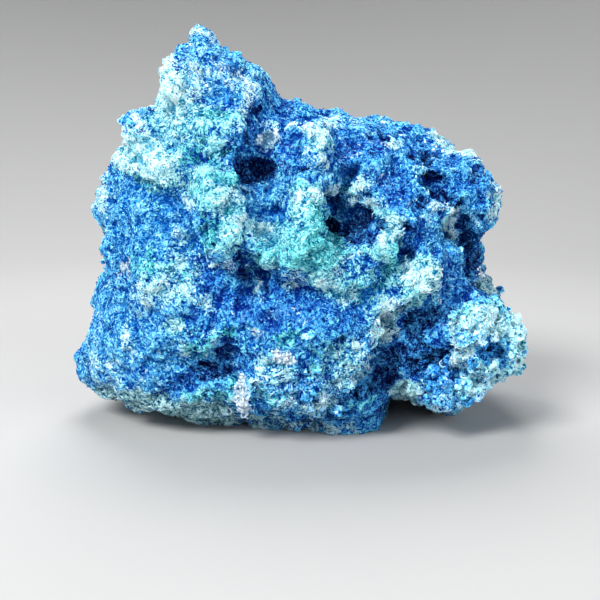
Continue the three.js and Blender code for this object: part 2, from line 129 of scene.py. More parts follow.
# Where each kind of growth shows: centre across and up, half width and half height, in mm on an
# upright plane through the stone's middle as the eye sees it, then a turn in degrees and a strength.
# Some small pale and azure patches are painted light: they lighten places that the relief leaves in shade.
PATCHES = {
    "azure": [
        (-29, 36, 8, 9, 0, 1), (-32, 12, 9, 10, 0, 0.8), (-22, 39, 4, 2, 0, 1), (-37, 18, 1.6, 4, 0, 1),
        (-35, 17, 2, 1.4, 0, 1), (30, 36, 3.4, 4, 0, 0.9), (25, 32, 5, 5, 0, 0.5),
        (-13, 60, 8, 6, 0, 0.85), (20, 50, 6, 3, -20, 0.5), (-22, 18, 3.2, 1.1, 25, 1),
        (-22, 10, 7, 4, 0, 0.75), (-5.6, 38.4, 4.6, 6, 0, 0.85), (31.6, 12.2, 1.6, 2, 0, 1),
        (7.5, 36.5, 1.4, 1, 0, 0.6), (5, 17, 9, 2.4, 0, 0.5), (-4.4, 37.6, 3.4, 4.4, 0, 0.6),
        (-30, 20, 5, 8, 0, 0.6), (-20, 60, 3, 4, 0, 0.5), (5.4, 43.6, 3, 2.2, 0, 0.8),
        (15, 20, 7, 3, 0, 1), (-10.4, 52, 1.8, 1.6, 0, 1), (-20, 30, 2, 4, 0, 1),
        (27, 33, 2.4, 2.4, 0, 1.1), (26.4, 24.6, 2.4, 3, 0, 0.85), (27, 32.6, 3, 4.4, 0, 0.8),
        (-25, 19, 3.4, 1.6, 0, 0.8), (-11, 14, 2.4, 1.4, 0, 0.9), (-37, 7, 3, 3.4, 0, 0.9),
        (3, 0, 4, 2, 0, 0.7), (8, 27, 1.4, 1.4, 0, 0.7), (13, 8.6, 1.6, 2, 40, 0.8),
        (-17, 20, 2, 1.6, 0, 0.8), (8, 42, 4, 2.4, 0, 1), (-20, 35, 2.6, 2.6, 0, 0.9),
        (30, 9.8, 2.2, 2.4, 0, 0.9), (8, 53, 6, 2, 0, 0.8), (20, 44.4, 5, 2.4, 0, 0.7),
        (-9, 54, 3.2, 3.4, 0, 0.8), (9, 38, 2, 1.4, 0, 1.2), (14.6, 38.4, 2, 1.4, 0, 0.9),
        (-20, 32, 2.6, 2, 0, 0.9),
    ],
    "royal": [
        (-3, 48, 3, 3.4, 0, 0.6), (-13.5, 62, 3.6, 1.6, -20, 0.7), (-12.5, 56, 1.4, 1.6, 0, 1),
        (-20.7, 62, 0.9, 0.9, 0, 0.8), (-15.6, 47.6, 2.8, 1.2, 0, 0.8), (-12.4, 47.5, 2, 2.2, 0, 0.7),
        (-8, 52.5, 1.4, 4.4, -8, 1), (8.5, 48, 2.6, 3.8, 0, 1), (13.6, 47.6, 3.4, 2.6, 0, 1.2),
        (-12, 43.4, 3, 1.3, 0, 0.8), (17, 41, 3.4, 4, 0, 0.6), (21.4, 31, 2, 3.2, 0, 1),
        (10.5, 33, 3.2, 2.2, 0, 1), (9.3, 31.4, 2.2, 1.6, 0, 1), (25.5, 39.6, 2.6, 1, 0, 1),
        (28, 27, 4.4, 3.2, 0, 0.55), (30, 22, 4.6, 3, 0, 0.5), (22, 45, 1.6, 1.4, 0, 0.5),
        (0, 17.5, 14, 3, -2, 0.7), (-3, 22.5, 2.6, 2.4, 0, 0.8), (0.6, 22.4, 1.5, 2.4, 0, 0.65),
        (-11.5, 20.4, 3.2, 2.2, 0, 1), (-15.6, 23, 2.2, 2.2, 0, 0.9), (-18, 27.4, 3, 2.2, 0, 0.7),
        (-18.4, 18, 1.4, 1.4, 0, 0.8), (-29.5, 7, 1.7, 1.7, 0, 0.6), (-11.5, -2.6, 3.4, 1.2, 0, 1),
        (25, 11.4, 3, 1.8, 0, 1), (25, 7.4, 3.2, 2, 0, 0.8), (29, 8, 3, 2, 20, 0.6),
        (26.6, 6.4, 3.4, 1.8, 0, 0.9), (33, 42, 2, 3, 30, 0.6), (-16, 31.6, 1.4, 1.2, 0, 0.8),
        (21.6, 28.4, 1.6, 1.2, 0, 0.8),
    ],
    "mint": [
        (-20, 53, 7, 4.4, 0, 0.9), (-27.6, 46.6, 5.4, 3.6, -16, 1.3), (-25, 43.4, 4.2, 2.8, -20, 1.3),
        (-13, 52, 3.2, 2.4, 0, 0.6), (-17.5, 49, 5, 3, 0, 0.5), (-15, 48, 2, 1.2, 10, 0.8),
        (-15, 41, 5.2, 4.8, 0, 1), (-12.2, 34.6, 3.2, 3.8, 0, 1), (-15, 31, 3, 2, 0, 0.7),
        (1.5, 36.6, 3.4, 4.6, 0, 1), (-3, 32.4, 6, 3.2, 0, 1), (3, 28.6, 6, 3.4, 0, 1),
        (5.6, 23.4, 3.4, 2.6, 0, 1), (-5, 28.4, 3.4, 2.6, 0, 0.9), (10.6, 25, 3, 3, 0, 0.6),
        (16.4, 33.4, 2.7, 3.2, 30, 1), (14.4, 36.4, 1.8, 1.4, 0, 0.9), (17, 28.4, 1.9, 3, 0, 1),
        (16.4, 24.4, 2, 2, 0, 0.9), (22, 25, 4, 3.6, 0, 1), (21, 21.4, 2.4, 2, 0, 0.9),
        (4.2, 49, 2, 3, 0, 0.9), (11, 41, 2.2, 1.5, 0, 0.8), (34.4, 16.6, 6.2, 2.4, -6, 0.95),
        (29.3, 14.4, 1.2, 2.6, 0, 0.8), (39.9, 12.5, 1.8, 4.2, 0, 0.9), (36.8, 7.8, 4, 1.5, 10, 0.75),
        (31, 4.3, 3.6, 1.6, 25, 0.7), (-22.5, 15.4, 2.2, 1.2, 20, 1), (-14, 2, 3, 1.8, 0, 0.7),
        (20.6, 4, 3, 1.8, 0, 0.9), (-24, 24, 7, 5, 0, 0.6), (-27.2, 27, 1.4, 3, 0, 0.7),
        (-21, 29, 3, 3, 0, 0.4), (-4, 8, 5, 4, 0, 0.4), (8, 8, 7, 5, 0, 0.45),
        (-19, 2, 3.6, 1.2, 15, 0.8), (-22, 50, 2.6, 1.8, 0, 0.9), (-20.4, 45.4, 1.6, 2, 0, 0.8),
        (-13.6, 37.6, 3.2, 2.6, 0, 1), (-12, 30.2, 2.2, 1.8, 0, 0.85), (-6.8, 33.4, 2.6, 1.5, 0, 0.95),
        (14, 29.6, 2.4, 1.8, 0, 0.95), (17.8, 31.6, 1.6, 2.4, 0, 0.9), (16, 18, 3, 3.4, 0, 0.6),
        (30.4, 11, 1.6, 2.2, 0, 0.6), (9, 21.4, 2.4, 1.6, 0, 0.7),
    ],
    "pale": [
        (-27.4, 46.6, 5, 3, -16, 1.2), (-24.6, 43.8, 3.6, 2.2, -20, 1.1),
        (-22.8, 57.4, 2.8, 6, -8, 1.3), (-18, 54, 5, 3.2, 0, 0.4), (-20.4, 58.6, 3.2, 3.6, 0, 0.8),
        (-22, 49.8, 2.2, 1.4, 0, 0.7), (-28, 52, 1.5, 1.3, 0, 0.8), (-33.4, 46.4, 1.7, 1.4, 0, 0.8),
        (-12.2, 34, 2.4, 2.6, 0, 0.5), (-13.5, 42, 2.4, 2.4, 0, 0.5), (1.5, 38, 2.6, 2.6, 0, 0.6),
        (5.6, 23, 2.2, 1.8, 0, 0.6), (16, 33, 2.4, 2.2, 30, 0.9), (22.4, 25, 3, 2.6, 0, 0.8),
        (18, 19.4, 3.2, 2.4, 0, 0.8), (17, 17.6, 2.4, 1.6, 40, 0.8), (-5.2, 49.6, 1.3, 1, 0, 0.8),
        (4.3, 49.4, 1.3, 2.6, 0, 1), (3, 52, 5, 1.1, 0, 0.7), (3.4, 46.6, 3, 0.9, 0, 0.35),
        (17, 48.6, 2.2, 1.4, 0, 0.8), (28.5, 47.2, 4.2, 1, -30, 0.9), (26.5, 38, 2.2, 0.7, 0, 0.8),
        (28, 36.4, 1.2, 1.6, 0, 0.5), (35.4, 40, 1.2, 1.5, 0, 0.6), (33, 17, 4.4, 1.4, 0, 0.75),
        (38, 16, 2.6, 1.8, 0, 0.7), (29.3, 13.4, 1.2, 3, 0, 0.85), (34, 14.8, 2.8, 1, 0, 0.85),
        (26.4, 1.4, 3, 1.6, 10, 0.5), (40, 13, 1.8, 4.6, 0, 0.95), (-35.2, 37.6, 1.2, 2, 0, 0.9),
        (35.6, 37.4, 1, 2, 0, 0.8), (34.6, 4.4, 4, 1.2, 22, 0.7), (-35, 41, 1.3, 4.4, 0, 0.75),
        (-25.5, 22.4, 5.4, 3, 8, 0.6), (-21, 24.4, 4, 2, 0, 0.4), (-19.6, 22.3, 1.6, 1, 0, 0.9),
        (-21.5, 27.6, 2.6, 2, 0, 0.4), (-15, 27, 1, 0.8, 0, 0.8), (-31.6, 13.6, 0.8, 2.8, -8, 0.7),
        (-22.4, 15.5, 1.6, 0.9, 20, 0.7), (11.6, 11, 2.2, 2.6, 0, 0.5), (6, 6, 6, 4, 0, 0.4),
        (-5, 6, 4, 4, 0, 0.4), (-2, 1, 4, 1.4, 0, 0.5), (-20, 10.6, 1.4, 1.2, 0, 0.6),
        (-7.2, 22.4, 0.6, 1.8, 0, 0.9), (-14.4, 66, 1.4, 1, 0, 0.7), (20.4, 3.2, 3.4, 2.1, 0, 1.1),
        (3, 0, 3, 1.2, 0, 0.55), (-37, 7, 2.4, 3, 0, 0.5), (11, 40.8, 3, 1.3, 0, 0.75),
        (-6.4, 33.2, 2.6, 1.6, 0, 0.9), (-19.6, 41, 1.7, 5, 0, 0.55), (-35, 4.4, 3, 2, 0, 0.5),
        (7.4, 26.8, 1.5, 2, 0, 0.75), (-1, 24.8, 2.2, 1.1, 0, 0.45), (-5.4, 26.4, 2.2, 0.9, 0, 0.5),
        (-11.6, 26.6, 1.7, 1.3, 0, 0.55), (16.6, 15, 2.4, 2.6, 0, 0.7), (30, 9.6, 1.8, 2, 0, 0.8),
        (11.6, 7.6, 1.7, 2, 0, 0.65), (7, 10, 1.2, 1.6, 0, 0.6), (5.6, 2, 2.2, 1.7, 0, 0.6),
        (8, 53.4, 5, 1, 0, 0.5), (3.8, 45, 2.2, 1.1, 0, 0.55), (-17.6, 58.4, 2.6, 1.5, 0, 0.6),
        (-26, 18.8, 3, 1.2, 0, 0.45), (-8.6, 32, 0.9, 0.9, 0, 0.7), (-16, 13, 1.6, 2, 0, 0.4),
        (-38, 10, 2, 5, 0, 0.3), (-9, 55, 1.8, 2, 0, 0.35), (-19.6, 55.4, 2, 2, 0, 0.5),
        (-21, 45, 1.4, 2, 0, 0.6), (-14, 38.4, 2, 1.2, 0, 0.6), (18.2, 33, 1.4, 2, 0, 0.7),
        (28, 33, 1.6, 2, 0, 0.65), (26, 24, 1.8, 2.4, 0, 0.5), (9, 21.4, 2, 1.4, 0, 0.7),
        (33, 12.6, 1.2, 1.4, 0, 0.6), (25.4, 49.8, 2.4, 1, -20, 0.8), (-17.4, 66.8, 1.6, 1.4, 0, 0.9),
        (-31, 49, 1.6, 3.4, 0, 0.7), (-9.6, 59, 3, 3, 0, 0.42), (-17, 62, 4, 2.6, 0, 0.42),
        (-12.6, 8.4, 1.4, 1.2, 0, 0.6), (13.4, 8.6, 1.2, 1.6, 40, 0.7), (-12, 38.8, 1.4, 1.2, 0, 0.7),
        (-18, 57, 2, 1.6, 0, 0.75), (-26, 50, 2, 1.2, 0, 0.6), (-30, 44.6, 1.4, 2, 0, 0.5),
        (-8, 26, 1.6, 1.2, 0, 0.4), (-1, 23, 1.2, 1, 0, 0.8), (31, 8.6, 1.4, 1.2, 0, 0.5),
        (5.4, 42, 1, 2, 0, 0.4), (32, 35, 1, 1.6, 0, 0.4), (22, 44, 1, 1.2, 0, 0.4),
        (6, 41.2, 1.6, 1.1, 0, 0.65), (9.5, 38.6, 1.5, 1, 0, 0.9), (14.6, 38, 1.5, 1, 0, 0.7),
        (25.8, 25, 1.2, 1.6, 0, 0.4), (17, 20, 2, 2, 0, 0.4), (-14.6, 36.6, 1.4, 1.4, 0, 0.9),
        (-10.5, 51, 1, 1.6, 0, 0.6), (-5.2, 51.8, 1.2, 1.2, 0, 0.5), (-11.7, 39, 1.3, 2, 0, 0.8),
        (7, 4, 1.6, 1.4, 0, 0.6), (-17, 20, 1.6, 1.2, 0, 0.5), (31, 28, 0.9, 1.4, 0, 0.5),
        (-24, 24.4, 1.6, 1.6, 0, 0.8), (17, 17.4, 2.4, 1.4, 0, 0.6), (-21, 32.4, 1.5, 1.8, 0, 0.45),
        (-28, 20, 1.6, 1.2, 0, 0.4), (19, 34, 1, 1.4, 0, 0.5), (0, 24.2, 1.6, 0.9, 0, 0.4),
        (-20.4, 45.6, 1.4, 1.4, 0, 0.5), (37, 7.4, 3.6, 1.2, 12, 0.5), (31, 4.2, 3.4, 1.3, 25, 0.5),
    ],
    "teal": [
        (3, 28.6, 6, 2.4, 0, 0.75), (6, 31, 1.8, 2.4, 0, 1), (17.2, 28.4, 1.6, 2.6, 0, 1),
        (16.2, 24.2, 1.2, 1.6, 0, 0.6), (-18.6, 40, 0.9, 0.8, 0, 0.9), (-17, 40.8, 0.9, 0.7, 0, 0.9),
        (-14, 39.4, 0.6, 0.9, 0, 0.8), (-12.4, 37, 0.9, 0.9, 0, 0.9), (-19.4, 46, 1, 3, -30, 0.8),
        (-14, 46.6, 5, 0.6, 4, 0.6), (-22, 48, 1.6, 1.4, 0, 0.5), (-27, 27, 1.2, 3, 0, 0.8),
        (-15.6, 33.6, 1.5, 2.4, 0, 0.8), (-2, 14, 3, 2, 0, 0.7), (-13, 4, 3, 2, 0, 0.6),
        (-18, 11.6, 2.6, 1.8, 0, 0.7), (-13, 13.6, 2.2, 1.4, 0, 0.7), (5, 9, 3, 4, 0, 0.5),
        (-3, 30, 5, 2.4, 0, 0.5), (12, 22, 3, 3, 0, 0.4), (40, 12, 1, 2, 0, 0.4),
        (-20, 2, 4, 1.1, 15, 0.6), (9, 41.2, 1.4, 1, 0, 0.6), (4, 33, 3, 4, 0, 0.85),
        (-17, 36, 1.2, 3, 0, 0.5), (-13.2, 43.4, 3.2, 1.3, 0, 0.7), (-16, 31.6, 1.5, 1.3, 0, 0.9),
        (-14.4, 53.4, 2.2, 1.6, 0, 0.65), (37, 13, 2, 2, 0, 0.4), (12, 1, 4, 1.4, 20, 0.6),
        (-6, 2.4, 4, 2, 0, 0.5), (-6, 28.8, 2, 1.2, 0, 0.6), (1, 40.4, 2, 1, 0, 0.6),
        (-17, 13, 3, 1, 0, 0.6), (-2.5, 12.6, 1.6, 1.2, 0, 0.7), (4, 31, 2.4, 1.6, 0, 0.9),
        (-20, 25, 1.6, 1.6, 0, 0.7), (-16, 31, 1.4, 1.2, 0, 0.9), (3.4, 8.4, 1.2, 1.4, 0, 0.7),
        (-30, 27, 1.6, 2, 0, 0.5), (-17, 50, 1.2, 2, 0, 0.6), (-12, 42, 1.4, 1.2, 0, 0.8),
    ],
    "sage": [
        (-33, 2, 6, 2, -18, 0.9), (-27, 0.4, 7, 2.2, -6, 1), (-19, -1, 8, 2.4, -4, 1),
        (-8, -3, 8, 1.6, 0, 0.6), (20.4, 4.2, 2.8, 1.8, 0, 0.8), (34.2, 24, 1.1, 2, 20, 1),
        (35.8, 21.8, 1.4, 1, 0, 1), (3, -4, 9, 1, 0, 0.6), (-36, 5, 3, 2, -30, 0.4),
    ],
    "quartz": [
        (-10, 1.6, 1.6, 3, 0, 1), (-10.9, 4.8, 1.4, 1.4, 0, 0.9), (-2.4, 10, 1.4, 1.7, 0, 1),
        (-5.4, 49.8, 1.1, 0.9, 0, 0.9), (16.4, 54.4, 1.2, 0.8, 0, 1), (-32.3, 26.4, 0.6, 1.7, -20, 0.9),
        (34.4, 25.4, 0.8, 0.8, 0, 0.8), (-10.2, 60, 1.8, 1.1, 0, 0.4),
    ],
    # Painted shade: the navy patches darken the pits, the clefts and the shaded right face, where shade
    # falls.
    "navy_shade": [
        (-8, 43.8, 3, 2.6, 0, 1.4), (-10.4, 46, 0.9, 2, 0, 0.9), (-9.2, 39, 0.5, 4.2, 0, 0.8),
        (-8.2, 50.6, 0.6, 2.4, -8, 0.8), (-7, 54.4, 1, 1.8, -30, 0.7), (6.5, 39, 1.3, 1.3, 0, 0.85),
        (12.4, 35.2, 2.4, 1.5, 30, 1), (12.4, 32.2, 1.6, 1.2, 0, 0.65), (7, 34, 2.3, 1.4, 0, 0.9),
        (10, 33, 2.8, 3, 0, 0.9), (9.2, 43, 1.5, 0.7, 36, 0.7), (11.2, 35.2, 1.4, 0.9, 30, 0.8),
        (-12.4, 44.6, 2.6, 0.8, 0, 0.45), (1.5, 44.5, 1, 0.8, 0, 0.9), (20.1, 33.2, 0.9, 1.8, 0, 1),
        (20.8, 29.2, 1.4, 1.4, 0, 0.9), (24.6, 42.6, 1.8, 1, 0, 1), (25.4, 40, 2.6, 0.8, 10, 0.9),
        (22.9, 39, 0.9, 1, 0, 0.9), (24, 46.6, 1, 1.4, 10, 1), (14.2, 50.2, 0.6, 1.3, 20, 0.9),
        (32, 43.2, 0.8, 1.8, 10, 0.8), (28.6, 38.8, 1.4, 1.2, 30, 1.1), (30.6, 31.4, 1.9, 5, 14, 1),
        (32.6, 28, 2, 3.4, 10, 1), (33.6, 33, 1.2, 3.6, 0, 0.7), (24.8, 9.8, 1.8, 1.2, 0, 0.9),
        (22.6, 16.8, 3.8, 2.2, 40, 1.1), (21.4, 14.4, 1.5, 2.2, 0, 1), (19.6, 9.6, 5.4, 3, 20, 1.15),
        (16, 5.8, 4.8, 2.4, 36, 1.3), (11.8, 3.4, 3.6, 1.8, 20, 1), (17.4, 13, 0.9, 1.2, 0, 0.9),
        (-16.2, 7.4, 4.4, 2.4, 12, 1.2), (-20, 5.4, 4, 1.3, 14, 0.9), (-13, 11, 2, 1.3, 16, 0.8),
        (-23.4, 3.8, 3.2, 1, 4, 0.7), (-10, 25, 2, 1.5, 0, 0.7), (-9.8, 28, 1.4, 1.2, 0, 0.6),
        (21, 46.6, 1.2, 1, 0, 0.8), (-5.8, 22.4, 0.9, 1.7, 0, 0.8), (-16.3, 34.2, 0.8, 1.2, 0, 0.6),
        (36, 11.4, 1.5, 1.4, 20, 0.9), (34.6, 9.4, 1.4, 1, 0, 0.9), (27.4, 10.6, 2.2, 0.9, 0, 0.9),
        (27.4, 7.3, 0.8, 0.7, 0, 1), (7.3, 13.4, 1.2, 0.7, 10, 0.8), (8, -1.4, 3, 0.9, 0, 0.7),
        (-6, -1, 2, 1, 0, 0.5), (16, 0, 3, 2, 0, 0.7), (28, 18, 1.8, 1.4, 0, 0.7),
        (15.8, 49.6, 1.1, 1, 0, 1), (25, 38.8, 2, 0.8, 0, 0.8), (-6, 22.6, 1.2, 1, 0, 0.8),
        (36.4, 9, 2, 1.4, 0, 1), (26.4, 9.8, 2.2, 1.2, 0, 1.1), (26, 3.8, 1.2, 0.9, 0, 0.6),
        (-15.4, 5.8, 2, 1, 12, 0.8), (22.2, 8.4, 3.4, 2.2, 12, 1.6), (14.2, 34, 1, 1, 0, 0.8),
        (-16, 31, 1, 1, 0, 0.6), (-17.6, 12.4, 1.6, 0.8, 0, 0.6), (-3, 13.2, 1.4, 1, 0, 0.6),
        (13.4, 45.6, 1.2, 1, 0, 0.6), (16, 3.4, 2, 1, 30, 0.9), (1, 1.6, 2, 0.9, 0, 0.4),
        (20, -1, 3, 2, 0, 0.8), (35.4, 11.4, 1.6, 1.6, 20, 1), (31, 30, 1.6, 4, 12, 1),
    ],
}
# The stretches where the growth stands in curled ribs, mostly the lobe and its fringe.
CURLED = [
    (31, 4, 9, 4, 18, 1), (38, 11, 4, 7, 0, 1), (25, 8, 5, 4, 0, 0.6), (33, 16, 6, 4, 0, 0.8),
    (-17, 60, 7, 6, 0, 0.2), (0, 4, 16, 6, 0, 0.4), (-29, 51, 3, 3, 0, 0.6), (4, 12, 12, 6, 0, 0.3),
]
PATCH_MIDDLE = 0.44  # mm: where the patches' numbers put the eye's own upright plane
RAGGED = ((4.5, 1.3), (1.6, 0.9))  # mm: over what size the patches' edges wander, and how far
SEEN_FADE = (-0.3, 0.05)  # how squarely a place must face the eye to take the seen patches


def unit(rows):
    return rows / np.maximum(np.linalg.norm(rows, axis=1, keepdims=True), 1e-9)


places = points_of(skin.data) / MM
outward = points_of(skin.data, "vertices", "normal")
in_front = step((outward * unit(EYE - places)).sum(1), *SEEN_FADE)
ragged = places.copy()
for size, reach in RAGGED:
    ragged += reach * swirl(places, size, 11.3)


def as_seen(points):
    """Where points show on the patches' plane."""
    nearness = -EYE[1] / (points[:, 1] - EYE[1])
    across = PATCH_MIDDLE + nearness * (points[:, 0] - EYE[0])
    return across, EYE[2] + nearness * (points[:, 2] - EYE[2])


def covered(patches, points=ragged):
    """How strongly each place lies in one of these patches."""
    across, up = as_seen(points)
    seen = np.zeros(len(points))
    for x, z, half_x, half_z, turn, strength in patches:
        c, s = math.cos(math.radians(turn)), math.sin(math.radians(turn))
        along = ((across - x) * c + (up - z) * s) / half_x
        over = ((up - z) * c - (across - x) * s) / half_z
        seen = np.maximum(seen, strength * (1 - step(np.hypot(along, over), 0.6, 1.4)))
    return seen


# The sides and back, hidden from the camera, carry the same growths in blotches: pale crusts inside
# mint ones, darker blue in the hollows between, navy painted shade in the pits, and sage low down. Each
# has the field that it follows, and the values of that field where it starts and where it is full.
fields = {
    "crust": lumps(places, 14, 3.7) + 0.5 * lumps(places, 4.5, 8.1),
    "ground": lumps(places, 16, 21.3) + 0.5 * lumps(places, 5.5, 27.9),
    "holes": lumps(places, 6.5, 33.1),
    "seams": lumps(places, 5, 41.7),
    "height": places[:, 2] / 10 + 0.6 * lumps(places, 7, 47.2),
}
UNSEEN = {
    "azure": ("ground", 0.0, 0.35),
    "royal": ("ground", -0.05, -0.4),
    "mint": ("crust", 0.12, 0.4),
    "pale": ("crust", 0.36, 0.7),
    "teal": ("seams", 0.35, 0.6),
    "sage": ("height", 0.7, 0.1),
    "quartz": ("seams", -0.55, -0.7),
    "navy_shade": ("holes", 0.42, 0.62),
}
growth = {}
for kind, (field, start, full) in UNSEEN.items():
    unseen = step(fields[field], start, full)
    growth[kind] = in_front * covered(PATCHES[kind]) + (1 - in_front) * unseen
curled = in_front * covered(CURLED) + (1 - in_front) * step(fields["holes"], -0.1, -0.35)

# The relief of the skin: swollen tufts with creases between them on the mint crusts, a finer felted mat
# with pin holes on the blue, curled ribs on the lobe, and hollows under the navy painted shade.
TUFTS = ((6.0, 0.8), (2.8, 0.8), (1.3, 0.35))  # mm: size and rise
CREASE_SHARE = 0.2  # how far the creases sink, as a share of the rise
MAT = ((6.5, 0.8), (3.4, 0.6), (1.5, 0.4))
PIN_HOLE_SIZE, PIN_HOLE_DEPTH = 2.0, 0.5
RIB_SIZE, RIB_RISE, RIB_STEEPNESS = 2.6, 1.1, 3.2
RIB_WANDER, RIB_WANDER_SIZE = 0.6, 2.5  # mm: how far the ribs wind, and over what length
PIT_DEPTH = 0.6
FOOT_DROP, FOOT_BAND = 1.2, (0.6, 2.4)  # mm: the lowest band is drawn down, so that the stone stands
# Where the outline swells past the solid or shrinks from it. The rows are as for the patches, but the last
# number is how far, in mm.
SWELLS = [
    (-22, 61, 4, 6, 0, 0.6), (-4.6, 40.6, 2.2, 2.4, 0, 0.6), (-21, 65, 1.8, 2.4, 0, 0.9),
    (-16.8, 67.2, 1.8, 1.8, 0, 0.7), (1.4, 55.8, 2.4, 2, 0, 0.9), (31.6, 46, 3, 2.4, 0, 0.8),
    (34, 20.6, 2.6, 2, 0, 0.8), (12, 39.4, 4, 1.8, 0, 0.8), (6, 41.6, 2.2, 1.6, 0, 0.8),
]
SHRINKS = [
    (9, 55, 8, 2.4, 0, 0.8), (25, 51.4, 2.6, 2, 0, 0.8), (-31.8, 50.6, 1.8, 3.4, 0, 0.8),
    (-13.5, 43.5, 2, 2, 0, 0.7), (38, 5, 4, 3, 0, 0.6), (-24.5, 56, 1.6, 3, 0, 0.5),
    (-19, 68.6, 1, 1.2, 0, 0.6),
]

bare = np.maximum(growth["quartz"], growth["navy_shade"])
tufted = np.maximum(growth["mint"], growth["pale"]) * (1 - bare)
tufts = sum(
    height * (2 * np.abs(lumps(places, size, 5.1)) - CREASE_SHARE) for size, height in TUFTS
)
wandering = places + RIB_WANDER * swirl(places, RIB_WANDER_SIZE, 17.6)
ribs = RIB_RISE * (1 - RIB_STEEPNESS * np.abs(lumps(wandering, RIB_SIZE, 2.9)))
felt = sum(height * lumps(places, size, 9.4) for size, height in MAT)
pin_holes = step(lumps(places, PIN_HOLE_SIZE, 14.9), 0.2, 0.5)
felt -= PIN_HOLE_DEPTH * pin_holes * (1 - growth["quartz"])
rise = tufted * tufts + (1 - tufted) * felt + curled * ribs
rise = rise + covered(SWELLS, places) - covered(SHRINKS, places)
rise -= PIT_DEPTH * growth["navy_shade"] ** 2 + FIBRE_ROOM
places += rise[:, None] * outward
footing = 1 - step(places[:, 2], *FOOT_BAND)
places[:, 2] -= FOOT_DROP * footing
low, high = np.array(cad_low) / MM, np.array(cad_high) / MM
places = np.clip(places, low, high)
skin.data.vertices.foreach_set("co", (places * MM).astype(np.float32).ravel())
skin.data.update()
bpy.ops.object.shade_smooth()

# How far each point stands above or sinks below its surroundings, in mm, worked out by letting the
# surface relax: a few rounds for the creases of the mat, many for the hollows.
FINE_ROUNDS, BROAD_ROUNDS = 5, 45

ends = np.zeros(len(skin.data.edges) * 2, np.int64)
skin.data.edges.foreach_get("vertices", ends)
ends = ends.reshape(-1, 2)
degree = np.bincount(ends.ravel(), minlength=len(places))
outward = points_of(skin.data, "vertices", "normal")


def relief(rounds):
    """Height of each point over the surface relaxed this many times, in mm."""
    relaxed = places.copy()
    for _ in range(rounds):
        total = [
            np.bincount(ends[:, 0], relaxed[ends[:, 1], axis], len(places))
            + np.bincount(ends[:, 1], relaxed[ends[:, 0], axis], len(places))
            for axis in range(3)
        ]
        relaxed = np.stack(total, axis=1) / degree[:, None]
    return ((places - relaxed) * outward).sum(1)


fine, broad = relief(FINE_ROUNDS), relief(BROAD_ROUNDS)
creased, hollow = step(-fine, 0.02, 0.25), step(-broad, 0.8, 3.4)
crested, swollen = step(fine, 0.02, 0.25), step(broad, 0.1, 1.2)
# Painted shade: the creases and hollows are darkened in the colour.
growth["painted_shade"] = np.clip(creased * 0.6 + 0.6 * hollow, 0, 1)
# Painted highlight: the crests and swellings are lightened in the colour.
growth["painted_highlight"] = np.clip(crested * 0.6 + swollen * 0.6, 0, 1)


def mark(mesh, name, values):
    """Stores one number per point as a named attribute that the materials read."""
    mesh.attributes.new(name, "FLOAT", "POINT").data.foreach_set("value", values.astype(np.float32))


growth["curled"] = curled
FLECK_MIDDLE = 0.36  # the shade of the bare skin, among the needles' own shades from 0 to 1
for kind, values in growth.items():
    mark(skin.data, kind, values)
mark(skin.data, "tip", np.zeros(len(places)))
mark(skin.data, "fleck", np.full(len(places), FLECK_MIDDLE))
mark(skin.data, "streak", np.zeros(len(places)))


class Socket:
    """One output of a node. Sums on it add Math nodes, so a mask reads as a formula."""

    def __init__(self, finish, output):
        self.finish, self.output = finish, output

    def calc(self, operation, first, second):
        return self.finish.add("ShaderNodeMath", {"operation": operation}, {0: first, 1: second})

    def __add__(self, other):
        return self.calc("ADD", self, other)

    def __sub__(self, other):
        return self.calc("SUBTRACT", self, other)

    def __rsub__(self, other):
        return self.calc("SUBTRACT", other, self)

    def __mul__(self, other):
        return self.calc("MULTIPLY", self, other)

    __radd__ = __add__


class Finish:
    """A material and its nodes."""

    def __init__(self, name):
        self.material = bpy.data.materials.new(name)
        self.material.use_nodes = True
        self.tree = self.material.node_tree
        self.tree.nodes.clear()

    def add(self, kind, settings=None, sockets=None, output=0):
        """Adds a node, sets it, fills its sockets with values or links, and returns one output."""
        node = self.tree.nodes.new(kind)
        for name, value in (settings or {}).items():
            setattr(node, name, value)
        for name, value in (sockets or {}).items():
            if isinstance(value, Socket):
                self.tree.links.new(value.output, node.inputs[name])
            else:
                node.inputs[name].default_value = value
        return Socket(self, node.outputs[output]) if node.outputs else None

    def stored(self, name):
        return self.add("ShaderNodeAttribute", {"attribute_name": name}, output="Fac")

    def between(self, value, low, high):
        """0 where the value is at or below low, 1 at or above high, smooth between."""
        return self.add(
            "ShaderNodeMapRange",
            {"interpolation_type": "SMOOTHSTEP"},
            {"Value": value, "From Min": low, "From Max": high},
        )

    def mixed(self, share, below, above, blend="MIX"):
        """Two colours mixed. Sockets 6 and 7 are a Mix node's colours, and output 2 its colour."""
        return self.add(
            "ShaderNodeMix",
            {"data_type": "RGBA", "blend_type": blend, "clamp_result": True},
            {0: share, 6: below, 7: above},
            output=2,
        )
